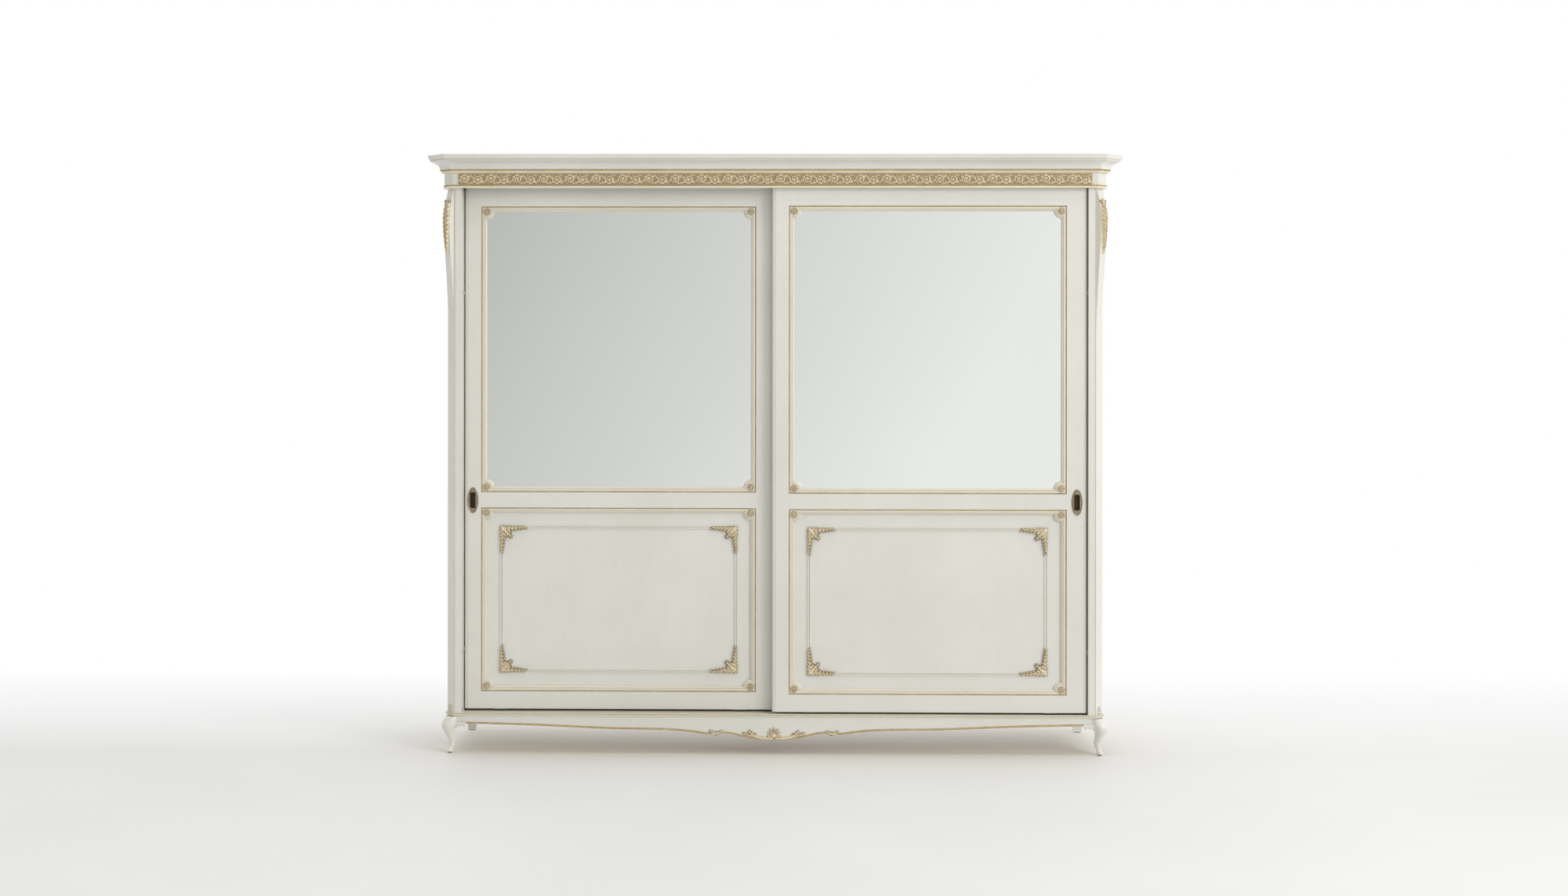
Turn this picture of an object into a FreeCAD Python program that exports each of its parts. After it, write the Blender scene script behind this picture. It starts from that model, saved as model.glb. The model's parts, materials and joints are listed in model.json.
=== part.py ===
"""Two-door sliding armoire in a classic style, millimetres.

+Z is up, +X is to the right as one faces the doors, and the doors face -Y.
The origin is on the floor, in the middle of the overall box.
"""

import FreeCAD, Part
import math
import os

V = FreeCAD.Vector

# ---- overall ----
HEIGHT = 2464
BACK_Y = 350            # the wall side of the carcass
POST_X = 1350           # outer side of the front corner posts
POST_Y = -270           # front of the posts
CANT = 30               # leg of the 45 degree corner cut
OPENING_X = 1289        # half of the clear width between the posts
BOARD = 22              # carcass boards
BACK_T = 5

# ---- heights ----
GLIDE_T = 3
FOOT_TOP = 91           # underside of the hidden base rails
PLINTH_TOP = 153        # top of the apron and of the bottom panel
SILL_TOP = 167          # top of the base moulding
FRIEZE_Z = 2329         # underside of the frieze
CROWN_Z = 2405          # underside of the crown moulding

# ---- how far each moulding stands out from the line of the posts ----
SILL_OUT = 7
FRIEZE_OUT = 14
BEAD_OUT = 32           # the gilt bead under the crown
CROWN_OUT = 80
INSET = 8              # how far they reach inside that line, to the side panels

# ---- doors ----
DOOR_W = 1294
DOOR_T = 32
DOOR_Z0 = 173
DOOR_Z1 = 2336
DOOR_EDGE_X = 1285.5    # outer edge of a shut door
FRONT_DOOR_Y = -258     # face of the right door, on the front track
REAR_DOOR_Y = -208      # face of the left door, on the rear track
FRAME_LEFT = 69         # door edge to the gilded line, on its left and right
FRAME_RIGHT = 83.5
PANEL_Z = (245, 1008)    # gilded lines round the lower panel
MIRROR_Z = (1072, 2258)
REBATE = 12             # how far the mirror and the panel reach under the frame
REBATE_Y = 17           # rebate depth behind the door face
MIRROR_T = 5
BACKING_T = 8
PANEL_T = 13
SURROUND_W = 22         # moulding round the mirror and the panel
SURROUND_Y = 4          # its face behind the door face
NOTCH_R = 30            # hollow corners of the surrounds
INNER_INSET = 83        # applied moulding on the lower panel
INNER_W = 14
INNER_T = 8
ROSETTE_R = 14
ROSETTE_T = 6
OVOLO_R = 10            # rounded outer edges of the stiles, with a quirk beside them
QUIRK_W = 3
QUIRK_D = 1.5

# ---- flush pulls ----
PULL_Z = 1038
PULL_W = 45
PULL_H = 108
PULL_T = 3
CUP_W = 22
CUP_H = 65
CUP_WALL = 2
CUP_DEPTH = 14

# ---- running gear ----
ROLLER_R = 18.5         # over the flanges
GROOVE_R = 16           # at the bottom of the groove
ROLLER_W = 9
GROOVE_W = 5
RIB_W = 4
RIB_TOP = PLINTH_TOP + 7
TRACK_BASE = 2
TRACK_DECK = PLINTH_TOP + 10    # the bottom track's face, nearly level with the base moulding
TRACK_GROOVE = 13               # each rib stands in a groove of this width
RUN_GAP = 0.3
AXLE_R = 3
AXLE_GAP = 0.05
ROLLER_INSET = 150      # roller axle to the door edge
CARRIAGE_L = 54
CARRIAGE_W = 13
CARRIAGE_TOP = 202
SHEET = 1.5
BUMPER_T = 3

# ---- inside ----
PARTITION_Y = -170
SHELF_Y = -160
SHELF_Z = 2030
ROD_Z = 1965
ROD_Y = 80
ROD_R = 12.5

# ---- worked out ----
SIDE_X = POST_X - INSET             # outer face of the side panels
INNER_X = SIDE_X - BOARD
BACK_PANEL_Y = BACK_Y - 12
TOP_BOARD_Z = CROWN_Z - BOARD
TRACK_RAIL_Z = 2356
POST_BACK_Y = REAR_DOOR_Y + DOOR_T + 4
FRIEZE_Y = POST_Y - FRIEZE_OUT
LEG_BLOCK_X = OPENING_X - 3
LEG_BLOCK_BACK_Y = POST_BACK_Y - 30
AXLE_Z = RIB_TOP + RUN_GAP + GROOVE_R
TRACKS_Y = (FRONT_DOOR_Y + DOOR_T / 2, REAR_DOOR_Y + DOOR_T / 2)
CANT_MID = V(POST_X - CANT / 2, POST_Y + CANT / 2, 0)
OUTWARD = V(1, -1, 0).normalize()   # square to the right-hand corner cut
ALONG = V(1, 1, 0).normalize()      # along that cut


# ---- shapes ----
def save(name, shapes):
    """Writes one sub-part: a solid, or several that are alike."""
    solids = shapes if isinstance(shapes, list) else [shapes]
    whole = solids[0] if len(solids) == 1 else Part.makeCompound(solids)
    whole.exportStep(f"parts/{name}.step")


def box(x0, x1, y0, y1, z0, z1):
    return Part.makeBox(x1 - x0, y1 - y0, z1 - z0, V(x0, y0, z0))


def mirrored(shape):
    """The same piece for the other side of the armoire."""
    return shape.mirror(V(0, 0, 0), V(1, 0, 0))


def pair(shape):
    return [shape, mirrored(shape)]


def joined(shapes):
    return shapes[0].fuse(shapes[1:]).removeSplitter()


def upright_prism(points, z0, z1):
    """A plan outline of (x, y) points pushed up."""
    corners = [V(x, y, z0) for x, y in points]
    return Part.Face(Part.makePolygon(corners + corners[:1])).extrude(V(0, 0, z1 - z0))


def plate(wire, y0, depth):
    """A closed wire in the plane Y = 0, pushed back from y0."""
    face = Part.Face(wire)
    face.translate(V(0, y0, 0))
    return face.extrude(V(0, depth, 0))


def disc(x, y, z, radius, length, direction=V(0, 1, 0)):
    return Part.makeCylinder(radius, length, V(x, y, z), direction)


def rectangle(x0, x1, z0, z1):
    corners = [V(x0, 0, z0), V(x1, 0, z0), V(x1, 0, z1), V(x0, 0, z1)]
    return Part.makePolygon(corners + corners[:1])


def hollow_cornered(x0, x1, z0, z1, radius):
    """A rectangle whose corners are hollow quarter circles."""
    edges = []
    corners = [(x0, z0, 1, 1), (x0, z1, 1, -1), (x1, z1, -1, -1), (x1, z0, -1, 1)]
    ends = []
    for k, (x, z, right, up) in enumerate(corners):
        side, floor = V(x, 0, z + up * radius), V(x + right * radius, 0, z)
        bulge = radius * math.sqrt(0.5)
        middle = V(x + right * bulge, 0, z + up * bulge)
        start, end = (floor, side) if k % 2 == 0 else (side, floor)
        ends.append((start, end))
        edges.append(Part.Arc(start, middle, end).toShape())
    for (_, end), (start, _) in zip(ends, ends[1:] + ends[:1]):
        edges.append(Part.makeLine(end, start))
    return Part.Wire(Part.__sortEdges__(edges))


# ---- mouldings that turn the front corners ----
def front_line(out):
    """The line of the posts seen from above, moved out, from the back left to the back right."""
    x, y = POST_X + out, POST_Y - out
    leg = CANT + out * (2 - math.sqrt(2))
    left = [(-x, BACK_Y), (-x, y + leg), (leg - x, y)]
    return left + [(-px, py) for px, py in reversed(left)]


def moulding(profile):
    """A moulding mitred at each corner, from a profile of (out, z) points."""
    ends = []
    for k in range(6):
        corners = [V(*front_line(out)[k], z) for out, z in profile]
        ends.append(Part.makePolygon(corners + corners[:1]))
    return joined([Part.makeLoft([a, b], True, True) for a, b in zip(ends, ends[1:])])


def crown_moulding():
    """A cove under a plain fascia."""
    foot, reach, rise = BEAD_OUT, 36, 30
    profile = [(-INSET, CROWN_Z), (foot, CROWN_Z)]
    for step in range(7):
        turn = math.radians(15 * step)
        profile.append((foot + 2 + reach * (1 - math.cos(turn)), CROWN_Z + 4 + rise * math.sin(turn)))
    lip_z = CROWN_Z + rise + 6
    profile += [(CROWN_OUT - 5, lip_z), (CROWN_OUT, lip_z + 5), (CROWN_OUT, HEIGHT), (-INSET, HEIGHT)]
    return moulding(profile)


def frieze_board():
    band = [(-INSET, FRIEZE_Z), (FRIEZE_OUT, FRIEZE_Z), (FRIEZE_OUT, CROWN_Z), (-INSET, CROWN_Z)]
    return moulding(band)


def frieze_beads():
    top, out = CROWN_Z, FRIEZE_OUT
    upper = [(out, top - 16), (out + 6, top - 16), (BEAD_OUT - 3, top - 7), (BEAD_OUT, top - 4)]
    upper += [(BEAD_OUT, top), (out, top)]
    low = FRIEZE_Z
    lower = [(out, low), (out + 5, low), (out + 6, low + 8), (out + 2, low + 13), (out, low + 13)]
    return [moulding(upper), moulding(lower)]


def base_moulding(posts):
    low, top, out = PLINTH_TOP, SILL_TOP, SILL_OUT
    profile = [(-INSET, low), (out - 5, low), (out - 4, low + 4), (out, low + 7), (out, top - 5)]
    profile += [(out - 3, top), (-INSET, top)]
    return moulding(profile).cut(posts)


# ---- corner posts and their carving ----
def swell(z0, z1, depth, width, lift=0.0):
    """A swelling on the right-hand corner cut, fullest at two thirds of its height."""
    rise = z1 - z0
    curve = [(0, 0), (0.28, 0.16), (0.5, 0.55), (0.7, 0.98), (0.86, 0.9), (1, 0.1)]
    points = [CANT_MID + OUTWARD * (lift + depth * d) + V(0, 0, z0 + rise * h) for h, d in curve]
    spline = Part.BSplineCurve()
    spline.interpolate(points)
    low = CANT_MID + OUTWARD * (lift - 4) + V(0, 0, z0)
    high = CANT_MID + OUTWARD * (lift - 4) + V(0, 0, z1)
    edges = [
        spline.toShape(),
        Part.makeLine(points[-1], high),
        Part.makeLine(high, low),
        Part.makeLine(low, points[0]),
    ]
    face = Part.Face(Part.Wire(edges))
    face.translate(ALONG * (-width / 2))
    return face.extrude(ALONG * width)


def corner_post():
    """A post with a corner cut, a fine quirk beside the cut and a swelling at the shoulder."""
    quirk = POST_X - CANT - 1
    plan = [
        (OPENING_X, POST_Y), (quirk - QUIRK_W, POST_Y), (quirk - QUIRK_W, POST_Y + QUIRK_D),
        (quirk, POST_Y + QUIRK_D), (quirk, POST_Y), (POST_X - CANT, POST_Y), (POST_X, POST_Y + CANT),
        (POST_X, POST_BACK_Y), (OPENING_X, POST_BACK_Y),
    ]
    shaft = upright_prism(plan, PLINTH_TOP, FRIEZE_Z)
    return joined([shaft, swell(1690, FRIEZE_Z - 8, 22, 38)])


def post_carving(post):
    """The gilded acanthus drop on the shoulder of the post."""
    return swell(2058, FRIEZE_Z - 38, 9, 34, 20).cut(post)


def post_foot_leaf():
    """The small carved leaf at the foot of the corner cut."""
    height, width, thick = 34, 30, 7
    foot = CANT_MID - ALONG * (width / 2) + V(0, 0, SILL_TOP)
    corners = [
        foot, foot + ALONG * width, foot + ALONG * (width * 0.8) + V(0, 0, height * 0.6),
        foot + ALONG * (width / 2) + V(0, 0, height), foot + ALONG * (width * 0.2) + V(0, 0, height * 0.6),
    ]
    return Part.Face(Part.makePolygon(corners + corners[:1])).extrude(OUTWARD * thick)


# ---- base ----
def front_leg():
    """A cabriole leg set square to the corner cut: knee, ankle and toe, under a block."""
    back = 2                # the block stands this far behind the post
    plan = [
        (LEG_BLOCK_X, POST_Y + back), (POST_X - CANT, POST_Y + back),
        (POST_X - back, POST_Y + CANT), (POST_X - back, LEG_BLOCK_BACK_Y),
        (LEG_BLOCK_X, LEG_BLOCK_BACK_Y),
    ]
    block = upright_prism(plan, PLINTH_TOP - 34, PLINTH_TOP)
    # height, distance outward and radius at each station
    stations = [
        (GLIDE_T, 3, 9), (12, 3, 13), (28, -5, 11.5), (46, -9, 14),
        (65, -3, 16.5), (84, 5, 20), (103, 9, 26), (118, 4, 31), (136, -6, 30),
    ]
    rings = []
    for z, out, radius in stations:
        centre = CANT_MID + OUTWARD * out + V(0, 0, z)
        rings.append(Part.Wire(Part.makeCircle(radius, centre)))
    return joined([block, Part.makeLoft(rings, True, False)])


REAR_LEG_X = SIDE_X - 24
REAR_LEG_Y = BACK_Y - 125       # set forward, clear of a skirting board


def rear_leg():
    top, foot = 24, 17
    x, y = REAR_LEG_X, REAR_LEG_Y
    ends = []
    for half, z in ((foot, GLIDE_T), (top, PLINTH_TOP - BOARD)):
        corners = [V(x + a * half, y + b * half, z) for a, b in ((-1, -1), (1, -1), (1, 1), (-1, 1))]
        ends.append(Part.makePolygon(corners + corners[:1]))
    return Part.makeLoft(ends, True, True)


CENTRE_FEET_Y = (80, 180)


def centre_feet():
    return [disc(0, y, GLIDE_T, 20, FOOT_TOP - GLIDE_T, V(0, 0, 1)) for y in CENTRE_FEET_Y]


def foot_glides():
    toe = CANT_MID + OUTWARD * 3
    glides = pair(disc(toe.x, toe.y, 0, 8, GLIDE_T, V(0, 0, 1)))
    glides += pair(disc(REAR_LEG_X, REAR_LEG_Y, 0, 14, GLIDE_T, V(0, 0, 1)))
    glides += [disc(0, y, 0, 16, GLIDE_T, V(0, 0, 1)) for y in CENTRE_FEET_Y]
    return glides


APRON_X = LEG_BLOCK_X
APRON_T = 20
# half of the apron's lower edge, from the middle out: (x, z)
APRON_EDGE = [
    (0, 63), (60, 62), (112, 68), (200, 86), (262, 82), (320, 88),
    (620, 101), (940, 113), (1240, 121), (APRON_X, 122),
]


def apron_curve(lift):
    points = [V(-x, 0, z + lift) for x, z in reversed(APRON_EDGE[1:])]
    points += [V(x, 0, z + lift) for x, z in APRON_EDGE]
    spline = Part.BSplineCurve()
    spline.interpolate(points)
    return spline.toShape(), points[0], points[-1]


def band_above(low, high):
    """The closed wire between two apron curves, or between a curve and a level."""
    lower, left, right = apron_curve(low)
    if high is None:
        top_left, top_right = V(-APRON_X, 0, PLINTH_TOP), V(APRON_X, 0, PLINTH_TOP)
        upper = Part.makeLine(top_left, top_right)
    else:
        upper, top_left, top_right = apron_curve(high)
    return Part.Wire([lower, Part.makeLine(right, top_right), upper, Part.makeLine(top_left, left)])


def front_apron():
    return plate(band_above(0, None), POST_Y, APRON_T)


def apron_gilding():
    """The gilded lower edge, with the palmette and its leaves in the middle."""
    proud = 5
    edge = plate(band_above(0, 9), POST_Y - 3, 3)
    front = POST_Y - proud
    lobes = [disc(0, front, 88, 20, proud), disc(0, front, 109, 8, proud)]
    for side in (-1, 1):
        lobes += [disc(side * x, front, z, r, proud) for x, z, r in ((42, 82, 14), (95, 83, 13), (235, 91, 9))]
    return joined([edge] + lobes)


def base_rails():
    rail_top = PLINTH_TOP - BOARD
    apron_back = POST_Y + APRON_T
    front = box(-APRON_X, APRON_X, apron_back, apron_back + BOARD, rail_top - 12, rail_top)
    leg = 24
    side = box(INNER_X, SIDE_X, LEG_BLOCK_BACK_Y, REAR_LEG_Y - leg, FOOT_TOP, rail_top)
    rear_x, rear_y = REAR_LEG_X - leg, REAR_LEG_Y - BOARD / 2
    back = box(-rear_x, rear_x, rear_y, rear_y + BOARD, FOOT_TOP, rail_top)
    centre = box(-BOARD / 2, BOARD / 2, apron_back + BOARD, rear_y, FOOT_TOP, rail_top)
    return [front, back, centre] + pair(side)


def bottom_panel():
    """The floor board, notched round the blocks of the front legs."""
    low, top = PLINTH_TOP - BOARD, PLINTH_TOP
    notch = box(LEG_BLOCK_X, SIDE_X, POST_Y, LEG_BLOCK_BACK_Y, low, top)
    return box(-SIDE_X, SIDE_X, POST_Y + APRON_T, BACK_Y, low, top).cut(pair(notch))


# ---- carcass ----
def side_panel():
    return box(INNER_X, SIDE_X, POST_BACK_Y, BACK_Y, PLINTH_TOP, TOP_BOARD_Z)


def shelves_and_fittings():
    shelf = box(BOARD / 2, INNER_X, SHELF_Y, BACK_PANEL_Y, SHELF_Z, SHELF_Z + BOARD)
    cleat = 18
    battens = []
    for x0 in (BOARD / 2, INNER_X - cleat):
        battens.append(box(x0, x0 + cleat, SHELF_Y + 20, BACK_PANEL_Y - 20, SHELF_Z - 30, SHELF_Z))
    rod_gap = 4
    rod = disc(BOARD / 2 + rod_gap, ROD_Y, ROD_Z, ROD_R, INNER_X - BOARD / 2 - 2 * rod_gap, V(1, 0, 0))
    rod = rod.cut(disc(0, ROD_Y, ROD_Z, ROD_R - SHEET, POST_X, V(1, 0, 0)))
    sockets = []
    for x, floor in ((BOARD / 2, BOARD / 2), (INNER_X - 14, INNER_X - rod_gap)):
        cup = disc(x, ROD_Y, ROD_Z, ROD_R + 6, 14, V(1, 0, 0))
        inside = x + rod_gap if x == BOARD / 2 else x
        sockets.append(cup.cut(disc(inside, ROD_Y, ROD_Z, ROD_R, 10, V(1, 0, 0))))
    save("shelves", pair(shelf))
    save("shelf_battens", [b for batten in battens for b in pair(batten)])
    save("hanging_rods", pair(rod))
    save("rod_sockets", [s for socket in sockets for s in pair(socket)])


def carcass():
    posts = pair(corner_post())
    legs = pair(front_leg())
    save("right_corner_post", posts[0])
    save("left_corner_post", posts[1])
    save("front_legs", legs)
    save("post_carvings", pair(post_carving(posts[0])))
    save("post_foot_leaves", pair(post_foot_leaf()))
    save("rear_legs", pair(rear_leg()))
    save("centre_feet", centre_feet())
    save("foot_glides", foot_glides())
    save("base_rails", base_rails())
    save("bottom_panel", bottom_panel())
    save("front_apron", front_apron())
    save("apron_gilding", apron_gilding())
    save("base_moulding", base_moulding(posts))
    save("side_panels", pair(side_panel()))
    half = BOARD / 2
    save("centre_partition", box(-half, half, PARTITION_Y, BACK_PANEL_Y, PLINTH_TOP, TOP_BOARD_Z))
    save("top_panel", upright_prism(front_line(-INSET), TOP_BOARD_Z, CROWN_Z))
    back = box(0, INNER_X, BACK_PANEL_Y, BACK_PANEL_Y + BACK_T, PLINTH_TOP, TOP_BOARD_Z)
    save("back_panels", pair(back))
    save("frieze_board", frieze_board())
    save("frieze_beads", frieze_beads())
    save("frieze_carving", frieze_carving())
    save("crown_moulding", crown_moulding())
    shelves_and_fittings()


def frieze_carving():
    """The gilded scroll band: a thin strip with one boss to each scroll."""
    half, low, high = 1301, FRIEZE_Z + 14, CROWN_Z - 17
    scrolls, relief = 52, 3
    pitch = 2 * half / scrolls
    middle = (low + high) / 2
    strip = box(-half, half, FRIEZE_Y - relief, FRIEZE_Y, low, high)
    bosses = [
        disc(pitch * (k + 0.5) - half, FRIEZE_Y - 2 * relief, middle, 16, relief) for k in range(scrolls)
    ]
    return joined([strip] + bosses)


# ---- tracks ----
def tracks():
    rail_x = OPENING_X + 20
    rail = box(-rail_x, rail_x, POST_Y + INSET, POST_BACK_Y, TRACK_RAIL_Z, TOP_BOARD_Z)
    save("top_track_rail", rail)
    wall, wall_h, half_gap = 1.5, 12, 7.5
    front, rear = TRACKS_Y
    top_track = [box(-OPENING_X, OPENING_X, front - 11, rear + 11, TRACK_RAIL_Z - 2, TRACK_RAIL_Z)]
    floor = PLINTH_TOP + TRACK_BASE
    deck = box(-OPENING_X, OPENING_X, POST_Y + INSET, rear + 10, PLINTH_TOP, TRACK_DECK)
    grooves = [
        box(-OPENING_X, OPENING_X, y - TRACK_GROOVE / 2, y + TRACK_GROOVE / 2, floor, TRACK_DECK)
        for y in TRACKS_Y
    ]
    bottom_track = [deck.cut(grooves)]
    for y in TRACKS_Y:
        for y0 in (y - half_gap - wall, y + half_gap):
            channel_z = TRACK_RAIL_Z - 2
            top_track.append(box(-OPENING_X, OPENING_X, y0, y0 + wall, channel_z - wall_h, channel_z))
        bottom_track.append(box(-OPENING_X, OPENING_X, y - RIB_W / 2, y + RIB_W / 2, floor, RIB_TOP))
    save("top_track", joined(top_track))
    save("bottom_track", joined(bottom_track))
    bumpers = []
    for y in TRACKS_Y:
        for z in (420, 1900):
            bumpers += pair(disc(OPENING_X - BUMPER_T, y, z, 8, BUMPER_T, V(1, 0, 0)))
    save("door_bumpers", bumpers)


# ---- doors ----
def corner_points(x0, x1, z0, z1, inset):
    """The four corners of a rectangle moved in, each with its own directions towards the middle."""
    return [
        (x0 + inset, z0 + inset, 1, 1), (x1 - inset, z0 + inset, -1, 1),
        (x1 - inset, z1 - inset, -1, -1), (x0 + inset, z1 - inset, 1, -1),
    ]


def surround(x0, x1, z0, z1, face):
    """The moulding inside a frame opening, hollow at its inner corners."""
    w = SURROUND_W
    depth = REBATE_Y - SURROUND_Y
    outer = plate(rectangle(x0, x1, z0, z1), face + SURROUND_Y, depth)
    inner = hollow_cornered(x0 + w, x1 - w, z0 + w, z1 - w, NOTCH_R)
    return outer.cut(plate(inner, face + SURROUND_Y, depth))


def rosettes(x0, x1, z0, z1, face):
    y = face + SURROUND_Y - ROSETTE_T
    return [disc(x, y, z, ROSETTE_R, ROSETTE_T) for x, z, _, _ in corner_points(x0, x1, z0, z1, SURROUND_W)]


def inner_frame(x0, x1, z0, z1, y):
    low, high = INNER_INSET - INNER_W / 2, INNER_INSET + INNER_W / 2
    hollow = 46
    outer = hollow_cornered(x0 + low, x1 - low, z0 + low, z1 - low, hollow)
    inner = hollow_cornered(x0 + high, x1 - high, z0 + high, z1 - high, hollow)
    return plate(outer, y - INNER_T, INNER_T).cut(plate(inner, y - INNER_T, INNER_T))


def corner_ornaments(x0, x1, z0, z1, y, frame):
    """L-shaped acanthus sprays, a chain of lobes that get smaller along both arms."""
    ornaments = []
    thick = INNER_T + 4
    for x, z, right, up in corner_points(x0, x1, z0, z1, INNER_INSET - 4):
        lobes = [disc(x + right * 18, y - thick, z + up * 18, 22, thick)]
        for reach, radius in ((34, 17), (56, 14), (76, 11), (93, 8)):
            lobes.append(disc(x + right * reach, y - thick, z + up * 12, radius, thick))
            lobes.append(disc(x + right * 12, y - thick, z + up * reach, radius, thick))
        ornaments.append(joined(lobes).cut(frame))
    return ornaments


def flush_pull(x, face):
    """An oval plate with a rectangular finger cup, in one casting."""
    oval = Part.Ellipse(V(0, 0, 0), PULL_H / 2, PULL_W / 2).toShape()
    oval.rotate(V(0, 0, 0), V(0, 1, 0), 90)
    oval.rotate(V(0, 0, 0), V(0, 0, 1), 90)
    flat = Part.Face(Part.Wire(oval))
    flat.translate(V(x, face - PULL_T, PULL_Z))
    body = flat.extrude(V(0, PULL_T, 0)).fuse(pull_pocket(x, face))
    w, h = CUP_W / 2, CUP_H / 2
    cup = box(x - w, x + w, face - PULL_T, face + CUP_DEPTH - CUP_WALL, PULL_Z - h, PULL_Z + h)
    return body.cut(cup).removeSplitter()


def pull_pocket(x, face):
    w, h = CUP_W / 2 + CUP_WALL, CUP_H / 2 + CUP_WALL
    return box(x - w, x + w, face, face + CUP_DEPTH, PULL_Z - h, PULL_Z + h)


def carriage_pocket(x, y):
    half_l, half_w = CARRIAGE_L / 2 + 1, CARRIAGE_W / 2 + 0.5
    return box(x - half_l, x + half_l, y - half_w, y + half_w, DOOR_Z0, CARRIAGE_TOP)


def carriage(x, y):
    """A folded steel yoke let into the bottom rail, with its riveted axle."""
    half_l, half_w = CARRIAGE_L / 2, CARRIAGE_W / 2
    yoke = box(x - half_l, x + half_l, y - half_w, y + half_w, DOOR_Z0 - 3, CARRIAGE_TOP)
    slot = box(x - half_l, x + half_l, y - half_w + SHEET, y + half_w - SHEET, 0, CARRIAGE_TOP - SHEET)
    return joined([yoke.cut(slot), disc(x, y - half_w, AXLE_Z, AXLE_R, CARRIAGE_W)])


def roller(x, y):
    """A grooved wheel that rides on the rib of the bottom track."""
    wheel = disc(x, y - ROLLER_W / 2, AXLE_Z, ROLLER_R, ROLLER_W)
    ring = disc(x, y - GROOVE_W / 2, AXLE_Z, ROLLER_R + 1, GROOVE_W)
    ring = ring.cut(disc(x, y - GROOVE_W / 2, AXLE_Z, GROOVE_R, GROOVE_W))
    bore = disc(x, y - ROLLER_W / 2, AXLE_Z, AXLE_R + AXLE_GAP, ROLLER_W)
    return wheel.cut([ring, bore])


def stile(edge, inner, face):
    """A stile from its rounded outer edge to the frame opening."""
    inward = 1 if inner > edge else -1
    back = face + DOOR_T
    plan = [(edge, back)]
    for step in range(7):
        turn = math.radians(15 * step)
        x = edge + inward * OVOLO_R * (1 - math.cos(turn))
        plan.append((x, face + QUIRK_D + OVOLO_R * (1 - math.sin(turn))))
    plan += [(edge + inward * (OVOLO_R + QUIRK_W), face + QUIRK_D)]
    plan += [(edge + inward * (OVOLO_R + QUIRK_W + QUIRK_D), face), (inner, face), (inner, back)]
    return upright_prism(plan, DOOR_Z0, DOOR_Z1)


def door(side, x0, face):
    """One door: frame, mirror, panel, ornament, pull and running gear. x0 is its left edge."""
    x1 = x0 + DOOR_W
    back = face + DOOR_T
    middle = face + DOOR_T / 2
    open0, open1 = x0 + FRAME_LEFT, x1 - FRAME_RIGHT
    rebates = [
        box(open0 - REBATE, open1 + REBATE, face + REBATE_Y, back, z0 - REBATE, z1 + REBATE)
        for z0, z1 in (PANEL_Z, MIRROR_Z)
    ]
    pull_x = (x0 + open0) / 2 if side == "left" else (open1 + x1) / 2
    rollers_x = (x0 + ROLLER_INSET, x1 - ROLLER_INSET)
    pockets = [carriage_pocket(x, middle) for x in rollers_x]

    stiles = [stile(x0, open0, face), stile(x1, open1, face)]
    heights = [(DOOR_Z0, PANEL_Z[0]), (PANEL_Z[1], MIRROR_Z[0]), (MIRROR_Z[1], DOOR_Z1)]
    rails = [box(open0, open1, face, back, z0, z1) for z0, z1 in heights]
    save(f"{side}_door_stiles", [s.cut(rebates + [pull_pocket(pull_x, face)]) for s in stiles])
    save(f"{side}_door_rails", [r.cut(rebates + pockets) for r in rails])

    pane_y = face + REBATE_Y
    inside = 1                                  # play of the pane and panel in their rebates
    reach = REBATE - inside
    pane = [open0 - reach, open1 + reach]
    mirror_z = [MIRROR_Z[0] - reach, MIRROR_Z[1] + reach]
    panel_z = [PANEL_Z[0] - reach, PANEL_Z[1] + reach]
    backing_y = pane_y + MIRROR_T
    save(f"{side}_door_mirror", box(*pane, pane_y, backing_y, *mirror_z))
    save(f"{side}_door_mirror_backing", box(*pane, backing_y, backing_y + BACKING_T, *mirror_z))
    save(f"{side}_door_lower_panel", box(*pane, pane_y, pane_y + PANEL_T, *panel_z))

    save(f"{side}_door_mirror_surround", surround(open0, open1, *MIRROR_Z, face))
    save(f"{side}_door_panel_surround", surround(open0, open1, *PANEL_Z, face))
    frame = inner_frame(open0, open1, *PANEL_Z, pane_y)
    save(f"{side}_door_inner_moulding", frame)
    save(f"{side}_door_corner_ornaments", corner_ornaments(open0, open1, *PANEL_Z, pane_y, frame))
    tops = rosettes(open0, open1, *MIRROR_Z, face)[2:]
    save(f"{side}_door_rosettes", rosettes(open0, open1, *PANEL_Z, face) + tops)
    save(f"{side}_door_pull", flush_pull(pull_x, face))

    save(f"{side}_door_roller_carriages", [carriage(x, middle) for x in rollers_x])
    for end, x in zip(("left", "right"), rollers_x):
        save(f"{side}_door_{end}_roller", roller(x, middle))
    guide_l, guide_w, guide_top = 60, 12, TRACK_RAIL_Z - 6
    guides = []
    for x in (x0 + ROLLER_INSET, x1 - ROLLER_INSET):
        guides.append(box(x - guide_l / 2, x + guide_l / 2, middle - guide_w / 2, middle + guide_w / 2,
                          DOOR_Z1, guide_top))
    save(f"{side}_door_top_guides", guides)


os.makedirs("parts", exist_ok=True)
carcass()
tracks()
door("left", -DOOR_EDGE_X, REAR_DOOR_Y)
door("right", DOOR_EDGE_X - DOOR_W, FRONT_DOOR_Y)
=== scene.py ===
"""Looks of the two-door sliding armoire, in metres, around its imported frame."""

import json
import math

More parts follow.
